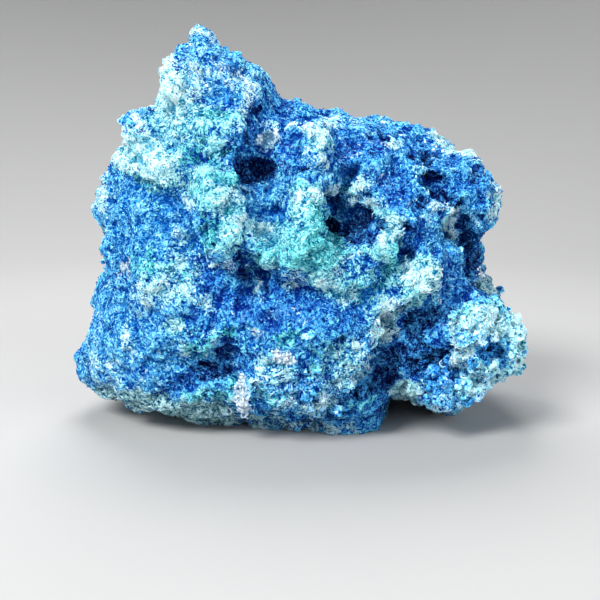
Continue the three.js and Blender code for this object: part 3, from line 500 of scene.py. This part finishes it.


# Colours of each growth: in the gaps of the mat, dark partly as painted shade between the fibres, in its
# body, and at the fibre tips, pale partly as painted highlight.
COLOURS = {
    "blue": ((0.0003, 0.024, 0.25, 1), (0.001, 0.175, 0.68, 1), (0.18, 0.74, 1.0, 1)),
    "azure": ((0.0006, 0.065, 0.36, 1), (0.005, 0.30, 0.82, 1), (0.30, 0.86, 1.0, 1)),
    "royal": ((0.0002, 0.007, 0.17, 1), (0.0006, 0.082, 0.56, 1), (0.10, 0.56, 1.0, 1)),
    "mint": ((0.003, 0.15, 0.34, 1), (0.13, 0.67, 0.80, 1), (0.52, 1.0, 1.0, 1)),
    "pale": ((0.06, 0.44, 0.64, 1), (0.54, 0.93, 0.97, 1), (0.82, 1.0, 1.0, 1)),
    "teal": ((0.0006, 0.08, 0.16, 1), (0.018, 0.42, 0.50, 1), (0.24, 0.86, 0.90, 1)),
    "sage": ((0.003, 0.05, 0.12, 1), (0.18, 0.46, 0.52, 1), (0.56, 0.84, 0.88, 1)),
    "quartz": ((0.10, 0.30, 0.42, 1), (0.60, 0.74, 0.88, 1), (0.85, 0.94, 1.0, 1)),
    "navy_shade": ((0.0001, 0.0006, 0.02, 1), (0.0003, 0.007, 0.16, 1), (0.06, 0.36, 0.76, 1)),
}
# How fully each growth covers its patches, where 0.5 leaves half of the ground showing. Later growths
# cover earlier ones.
COVER = {
    "azure": 1.0,
    "royal": 0.9,
    "mint": 1.0,
    "pale": 0.9,
    "teal": 0.9,
    "sage": 0.9,
    "quartz": 1.1,
    "navy_shade": 0.85,
}
SPECK_SIZE, CURL_SIZE, BLOTCH_SIZE = 0.65, 1.0, 3.0  # mm
EDGE_SPECKS, EDGE_BLOTCHES = 2.4, 1.4  # how strongly specks and blotches break up the patches
# The deep blue that the painted shade multiplies into the creases and hollows.
PAINTED_SHADE_TINT = (0.12, 0.52, 0.76, 1)


def fibrous(name, bump):
    """The finish of the fibrous mineral: the stored growths choose its colour, broken into specks."""
    finish = Finish(name)
    at = finish.add("ShaderNodeTexCoord", output="Object")

    def grain(size, warp=0.0):
        """Noise whose lumps have this size in mm, wound about itself by warp."""
        return finish.add(
            "ShaderNodeTexNoise",
            {},
            {"Vector": at, "Scale": 1 / (size * MM), "Detail": 2.0, "Roughness": 0.6, "Distortion": warp},
            output="Fac",
        )

    specks = grain(SPECK_SIZE, 0.8)
    curls = grain(CURL_SIZE, 3.0)
    blotches = grain(BLOTCH_SIZE)
    shades = COLOURS["blue"]
    for number, (kind, fullness) in enumerate(COVER.items()):
        scatter = (specks, curls)[number % 2]
        cover = finish.stored(kind) * fullness
        cover = cover + (scatter - 0.5) * EDGE_SPECKS + (blotches - 0.5) * EDGE_BLOTCHES
        share = finish.between(cover, 0.4, 0.6)
        shades = [finish.mixed(share, below, above) for below, above in zip(shades, COLOURS[kind])]
    # The level chooses between the gaps, the body and the tips: bright filaments wind along the middle
    # of the curls' noise, and each needle keeps more or less to a shade of its own.
    off_middle = finish.add("ShaderNodeMath", {"operation": "ABSOLUTE"}, {0: curls - 0.5})
    filaments = finish.between(off_middle, 0.05, 0.0)
    streak = finish.stored("streak")
    level = (specks - 0.5) * 2.2 + (curls - 0.5) * 2.0
    level = level + filaments * (0.6 + finish.stored("curled") * 0.3)
    level = 0.30 + level * (1 - streak * 0.4) + (blotches - 0.5) * 0.7
    # Painted highlight lightens the crests and swellings, and painted shade darkens the creases and
    # hollows.
    level = level + finish.stored("painted_highlight") * 0.3 - finish.stored("painted_shade") * 0.4
    own_shade = finish.stored("fleck") - FLECK_MIDDLE
    level = level + own_shade * (finish.stored("tip") * 0.5 + streak * 1.15)
    colour = finish.mixed(finish.between(level, 0.12, 0.42), shades[0], shades[1])
    colour = finish.mixed(finish.between(level, 0.48, 0.8), colour, shades[2])
    # Painted shade also tints the creases and hollows deep blue.
    shadow = finish.stored("painted_shade") * 0.85
    colour = finish.mixed(shadow, colour, PAINTED_SHADE_TINT, "MULTIPLY")
    height = finish.add("ShaderNodeBump", {}, {"Strength": bump, "Distance": 0.00025, "Height": level})
    surface = finish.add(
        "ShaderNodeBsdfPrincipled",
        {},
        {
            "Base Color": colour,
            "Roughness": 0.8,
            "Specular IOR Level": 0.05,
            "Sheen Weight": 0.02,
            "Sheen Roughness": 0.35,
            "Sheen Tint": (0.5, 0.85, 1.0, 1),
            "Normal": height,
        },
    )
    finish.add("ShaderNodeOutputMaterial", {}, {"Surface": surface})
    return finish.material


skin.data.materials.clear()
skin.data.materials.append(fibrous("matted_shattuckite", 0.8))
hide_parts("stone")
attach(skin, "root")

# The blue mat: short needles of shattuckite felted together all over the stone, each about a millimetre
# long and bent halfway, pale where its tip catches the light. They grew from the skin, and lie nearly
# flat on it.
corners = np.zeros(len(skin.data.loop_triangles) * 3, np.int64)
skin.data.loop_triangles.foreach_get("vertices", corners)
corners = corners.reshape(-1, 3)
edge_a = places[corners[:, 1]] - places[corners[:, 0]]
edge_b = places[corners[:, 2]] - places[corners[:, 0]]
areas = np.linalg.norm(np.cross(edge_a, edge_b), axis=1) / 2
combed = swirl(places, 2.6, 20.4) + 0.5 * swirl(places, 0.9, 31.8)
FLOOR_GAP = 0.25  # mm: fibres root no lower than this
NEEDLES_EACH = 19000
ROOT_DEPTH = 0.1  # mm below the skin
BEND_AT = 0.5  # share of the length below the bend
BEND_THICKNESS = 0.9  # at the bend, as a share of the root's
DROOP = 0.2  # how far the outer half turns back towards the skin
# A needle's seven points are three round its root, three round its bend, and its tip. These are its
# ten triangles, and how near the tip each point counts.
NEEDLE_FACES = np.array(
    [
        [2, 1, 0], [0, 1, 4], [0, 4, 3], [1, 2, 5], [1, 5, 4],
        [2, 0, 3], [2, 3, 5], [3, 4, 6], [4, 5, 6], [5, 3, 6],
    ]
)
NEEDLE_TIPS = np.array([0.0, 0.0, 0.0, 0.7, 0.7, 0.7, 1.0])


def fibres(name, count, chance, length, width, lean, bend, straying, streak, seed):
    """One mesh of many needles with three sides each, rooted where chance allows, lengths in mm. Lean is
    in degrees from upright, bend the most that the outer half turns aside, straying how far the needles
    leave the combed flow, and streak how much each keeps a shade of its own."""
    rng = np.random.default_rng(seed)
    weight = areas * chance[corners].mean(1) * (places[corners, 2].min(1) > FLOOR_GAP)
    picked = np.searchsorted(np.cumsum(weight) / weight.sum(), rng.random(count))
    picked = np.minimum(picked, len(corners) - 1)
    a, b = rng.random(count), rng.random(count)
    a, b = np.where(a + b > 1, 1 - a, a), np.where(a + b > 1, 1 - b, b)
    shares = np.stack([1 - a - b, a, b], 1)[:, :, None]

    def here(values):
        return (values[corners[picked]] * shares).sum(1)

    up_here = unit(here(outward))
    flow = unit(here(combed)) + straying * rng.normal(size=(count, 3))
    flow = unit(flow - (flow * up_here).sum(1, keepdims=True) * up_here)
    tilt = np.radians(rng.uniform(lean[0], lean[1], count))[:, None]
    way = unit(np.cos(tilt) * up_here + np.sin(tilt) * flow)
    turn = np.radians(rng.uniform(-bend, bend, count))[:, None]
    aside = np.cross(up_here, flow)
    way_on = unit(-DROOP * up_here + np.cos(turn) * flow + np.sin(turn) * aside)
    reach = rng.uniform(0.6, 1.3, (count, 1)) * length
    side = unit(np.cross(way, rng.normal(size=(count, 3))))
    other = np.cross(way, side)
    root = here(places) - ROOT_DEPTH * up_here
    thick = width * rng.uniform(0.7, 1.3, (count, 1)) / 2
    ring = [
        thick * (math.cos(angle) * side + math.sin(angle) * other)
        for angle in np.radians([0, 120, 240])
    ]
    knee = root + BEND_AT * reach * way
    points = [root + offset for offset in ring]
    points += [knee + BEND_THICKNESS * offset for offset in ring]
    points.append(knee + (1 - BEND_AT) * reach * way_on)
    points = np.clip(np.stack(points, 1).reshape(-1, 3), low, high)
    points_each = len(NEEDLE_TIPS)
    faces = (np.arange(count)[:, None, None] * points_each + NEEDLE_FACES).reshape(-1, 3)
    mesh = bpy.data.meshes.new(name)
    mesh.from_pydata(points * MM, [], faces)
    for kind, values in growth.items():
        at_root = (values[corners[picked]] * shares[:, :, 0]).sum(1)
        mark(mesh, kind, np.repeat(at_root, points_each))
    mark(mesh, "tip", np.tile(NEEDLE_TIPS, count))
    mark(mesh, "fleck", np.repeat(rng.random(count) ** 1.8, points_each))
    mark(mesh, "streak", np.full(count * points_each, streak))
    piece = bpy.data.objects.new(name, mesh)
    bpy.context.scene.collection.objects.link(piece)
    return piece


needle_finish = fibrous("shattuckite_needles", 0.0)
blue_chance = 1 - 0.55 * tufted - 0.95 * growth["quartz"] - 0.5 * growth["sage"]
blue_chance = np.clip(blue_chance, 0.02, 1)
sides = {
    "blue_needles_left": in_front * (places[:, 0] < 0),
    "blue_needles_right": in_front * (places[:, 0] >= 0),
    "blue_needles_back": 1 - in_front,
}
for number, (name, on_side) in enumerate(sides.items()):
    needles = fibres(
        name,
        count=NEEDLES_EACH,
        chance=blue_chance * on_side,
        length=0.8,
        width=0.22,
        lean=(60, 84),
        bend=120,
        straying=1.2,
        streak=1.0,
        seed=101 + number,
    )
    needles.data.materials.append(needle_finish)
    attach(needles, "root")

# The mint crusts: sprays of longer, paler fibre combed together into soft tufts on the higher ground.
# They grew over the blue mat last, so they stand proud of it.
mint_chance = np.clip(tufted - 0.3 * growth["navy_shade"], 0, 1)
mint_tufts = fibres(
    "mint_tufts",
    count=NEEDLES_EACH,
    chance=mint_chance,
    length=1.1,
    width=0.24,
    lean=(68, 86),
    bend=60,
    straying=0.4,
    streak=0.8,
    seed=211,
)
mint_tufts.data.materials.append(needle_finish)
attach(mint_tufts, "root")

# The curls: little rolled scales of the same mineral, pale along their outer edges where a painted
# highlight also lies, and painted deep blue shade inside, crowded on the lobe and its fringe and a few
# elsewhere. They grew out of the skin.
CURL_COUNT = 460
CURL_SIZES = (0.8, 1.5)
ROLL_TURNS = 0.75
ROLL_RADIUS, ROLL_WIDTH, SCALE_THICKNESS = 0.7, 1.3, 0.14  # mm, at size 1
ROLL_START = 0.3  # the roll's inner radius, as a share of its outer one
FRILL_DEPTH, FRILL_ACROSS, FRILL_ALONG = 0.25, 9, 4  # the wave of the scale's edge
CURL_LOWEST = 3  # mm above the shelf
CURL_LIFT = 0.15  # mm off the skin
CURL_TILT = 0.7  # radians either way
PALE_RIM = 0.5

bpy.ops.object.select_all(action="DESELECT")
bpy.ops.mesh.primitive_grid_add(x_subdivisions=7, y_subdivisions=3, size=1)
scale = bpy.context.active_object
flat = points_of(scale.data)
along_roll = flat[:, 0] + 0.5
turned = 2 * math.pi * ROLL_TURNS * along_roll
radius = ROLL_RADIUS * (ROLL_START + (1 - ROLL_START) * along_roll)
frill = 1 + FRILL_DEPTH * np.sin(FRILL_ACROSS * flat[:, 1] + FRILL_ALONG * along_roll)
rolled = np.stack(
    [radius * np.cos(turned) * frill, flat[:, 1] * ROLL_WIDTH, radius * np.sin(turned) * frill], 1
)
scale.data.vertices.foreach_set("co", rolled.astype(np.float32).ravel())
scale.data.update()
apply("SOLIDIFY", thickness=SCALE_THICKNESS, offset=0.0)
curl_shape = points_of(scale.data)
curl_faces = [tuple(face.vertices) for face in scale.data.polygons]
bpy.data.objects.remove(scale)
outer = np.clip(np.hypot(curl_shape[:, 0], curl_shape[:, 2]) / ROLL_RADIUS, 0, 1)
rng = np.random.default_rng(419)
curl_chance = (curled * (0.3 + 0.7 * in_front) * (places[:, 2] > CURL_LOWEST)) ** 3
spots = rng.choice(len(places), CURL_COUNT, replace=False, p=curl_chance / curl_chance.sum())
curl_points, all_faces = [], []
curl_marks = {kind: [] for kind in (*growth, "tip", "fleck", "streak")}
for number, spot in enumerate(spots):
    facing = Vector(outward[spot]).to_track_quat("Z", "Y").to_matrix()
    turn = np.array(facing) @ np.array(Matrix.Rotation(rng.uniform(0, 2 * math.pi), 3, "Z"))
    turn = turn @ np.array(Matrix.Rotation(rng.uniform(-CURL_TILT, CURL_TILT), 3, "X"))
    size = rng.uniform(*CURL_SIZES) * rng.uniform(0.8, 1.2, 3)
    placed = (curl_shape * size) @ turn.T + places[spot] + CURL_LIFT * outward[spot]
    curl_points.append(np.clip(placed, low, high))
    all_faces += [tuple(number * len(curl_shape) + corner for corner in face) for face in curl_faces]
    for kind, values in growth.items():
        curl_marks[kind].append(np.full(len(curl_shape), values[spot]))
    # Painted highlight along the scale's outer edge, and painted shade deep inside its roll.
    curl_marks["painted_highlight"][-1] = 0.2 + 1.2 * outer
    curl_marks["painted_shade"][-1] = 0.9 * (1 - outer)
    curl_marks["pale"][-1] = np.maximum(curl_marks["pale"][-1], PALE_RIM * outer**2)
    curl_marks["tip"].append(outer)
    curl_marks["fleck"].append(np.full(len(curl_shape), rng.random()))
    curl_marks["streak"].append(np.zeros(len(curl_shape)))
curl_mesh = bpy.data.meshes.new("curled_scales")
curl_mesh.from_pydata(np.concatenate(curl_points) * MM, [], all_faces)
for kind, values in curl_marks.items():
    mark(curl_mesh, kind, np.concatenate(values))
curled_scales = bpy.data.objects.new("curled_scales", curl_mesh)
bpy.context.scene.collection.objects.link(curled_scales)
curl_mesh.materials.append(needle_finish)
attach(curled_scales, "root")

# White quartz: small broken grains standing in the mat, a cluster here and there. Each row: the cluster's
# place on the same upright plane as the patches, its half width and half height, and how many grains.
CLUSTERS = [
    (-10, 1.6, 1.5, 2.9, 64), (-10.9, 4.8, 1.2, 1.2, 18), (-2.2, 10, 1.5, 1.3, 36),
    (-5.4, 49.8, 1.0, 0.8, 14), (16.6, 54.6, 1.4, 0.6, 16), (-32.3, 26.4, 0.5, 1.6, 12),
    (34.2, 25.2, 0.9, 1.2, 18), (35.8, 22, 0.9, 1.2, 12), (-10.2, 60, 1.4, 0.8, 8),
    (-30, 50.5, 1.2, 1.2, 8), (25.6, 48.6, 2.4, 0.8, 12),
]
GRAIN_SIZE = (0.3, 0.75)  # mm
GRAIN_ROUGHNESS, GRAIN_LUMP = 0.35, 0.45
GRAIN_CUT = (-0.38, 0.42)  # where flat broken faces cut the grain, for one that is 1 across

bpy.ops.object.select_all(action="DESELECT")
bpy.ops.mesh.primitive_ico_sphere_add(subdivisions=2, radius=0.5)
pattern = bpy.context.active_object
shell = points_of(pattern.data)
shell *= 1 + GRAIN_ROUGHNESS * lumps(shell, GRAIN_LUMP, 6.2)[:, None]
shell = np.clip(shell, *GRAIN_CUT)
shell_faces = [tuple(face.vertices) for face in pattern.data.polygons]
bpy.data.objects.remove(pattern)
rng = np.random.default_rng(307)
grain_points, grain_faces = [], []
across, up = as_seen(ragged)
for x, z, half_x, half_z, count in CLUSTERS:
    reach = np.hypot((across - x) / half_x, (up - z) / half_z)
    near = np.flatnonzero((reach < 1.3) & (in_front > 0.5))
    for spot in rng.choice(near, min(count, len(near)), replace=False):
        turn = Vector(rng.normal(size=3)).to_track_quat("X", "Y").to_matrix()
        size = rng.uniform(*GRAIN_SIZE) * rng.uniform(0.7, 1.1, 3)
        at = places[spot] - 0.05 * size.mean() * outward[spot]
        start = len(grain_points) * len(shell)
        grain_points.append(np.clip((shell * size) @ np.array(turn).T + at, low, high))
        grain_faces += [tuple(start + corner for corner in face) for face in shell_faces]
grain_mesh = bpy.data.meshes.new("quartz_grains")
grain_mesh.from_pydata(np.concatenate(grain_points) * MM, [], grain_faces)
grains = bpy.data.objects.new("quartz_grains", grain_mesh)
bpy.context.scene.collection.objects.link(grains)
milky = Finish("milky_quartz")
grain_at = milky.add("ShaderNodeTexCoord", output="Object")
cloud = milky.add(
    "ShaderNodeTexNoise", {}, {"Vector": grain_at, "Scale": 1400.0, "Detail": 3.0}, output="Fac"
)
milk = milky.mixed(milky.between(cloud, 0.35, 0.6), (0.30, 0.48, 0.62, 1), (0.78, 0.86, 0.92, 1))
milky_bump = milky.add("ShaderNodeBump", {}, {"Strength": 0.4, "Distance": 0.0001, "Height": cloud})
milky_surface = milky.add(
    "ShaderNodeBsdfPrincipled",
    {},
    {"Base Color": milk, "Roughness": 0.45, "Specular IOR Level": 0.4, "Normal": milky_bump},
)
milky.add("ShaderNodeOutputMaterial", {}, {"Surface": milky_surface})
grain_mesh.materials.append(milky.material)
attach(grains, "root")

# The setting: a pale round floor that curves up into a wall on every side, and soft studio light from
# the upper left.
STAGE_RADIUS, STAGE_HEIGHT, STAGE_CURVE = 0.75, 0.9, 0.5  # m

bpy.ops.object.select_all(action="DESELECT")
bpy.ops.mesh.primitive_cylinder_add(
    vertices=96, radius=STAGE_RADIUS, depth=STAGE_HEIGHT, location=(0, 0, STAGE_HEIGHT / 2)
)
floor = bpy.context.active_object
floor.name = "floor"
bpy.ops.object.transform_apply(location=True, rotation=True, scale=True)
bpy.ops.object.mode_set(mode="EDIT")
bpy.ops.mesh.flip_normals()
bpy.ops.mesh.select_all(action="DESELECT")
bpy.ops.object.mode_set(mode="OBJECT")
for face in floor.data.polygons:
    face.select = face.center.z > 0.99 * STAGE_HEIGHT
bpy.ops.object.mode_set(mode="EDIT")
bpy.ops.mesh.delete(type="FACE")
bpy.ops.object.mode_set(mode="OBJECT")
for edge in floor.data.edges:
    edge.select = all(floor.data.vertices[i].co.z < 0.001 for i in edge.vertices)
bpy.ops.object.mode_set(mode="EDIT")
bpy.ops.mesh.bevel(offset=STAGE_CURVE, segments=24, affect="EDGES")
bpy.ops.object.mode_set(mode="OBJECT")
bpy.ops.object.shade_smooth()
paper = Finish("pale_paper")
paper_surface = paper.add(
    "ShaderNodeBsdfPrincipled", {}, {"Base Color": (0.42, 0.42, 0.42, 1), "Roughness": 0.9}
)
paper.add("ShaderNodeOutputMaterial", {}, {"Surface": paper_surface})
floor.data.materials.append(paper.material)


def softbox(name, at, size, watts, colour):
    """A square studio light aimed at the stone's middle."""
    target = Vector((0, 0, 0.033))
    bpy.ops.object.light_add(type="AREA", location=at)
    lamp = bpy.context.active_object
    lamp.name = name
    lamp.data.size = size
    lamp.data.energy = watts
    lamp.data.color = colour
    lamp.rotation_mode = "QUATERNION"
    lamp.rotation_quaternion = (target - Vector(at)).to_track_quat("-Z", "Y")


softbox("key_light", (-0.28, -0.36, 0.42), 0.22, 4.8, (1.0, 0.99, 0.97))
softbox("fill_light", (0.38, -0.36, 0.20), 0.40, 1.8, (0.95, 0.97, 1.0))
softbox("top_light", (-0.05, 0.22, 0.48), 0.30, 2.4, (1.0, 1.0, 1.0))
world = bpy.data.worlds.new("studio_air")
bpy.context.scene.world = world
world.use_nodes = True
world.node_tree.nodes["Background"].inputs["Color"].default_value = (0.8, 0.85, 0.9, 1)
world.node_tree.nodes["Background"].inputs["Strength"].default_value = 0.26
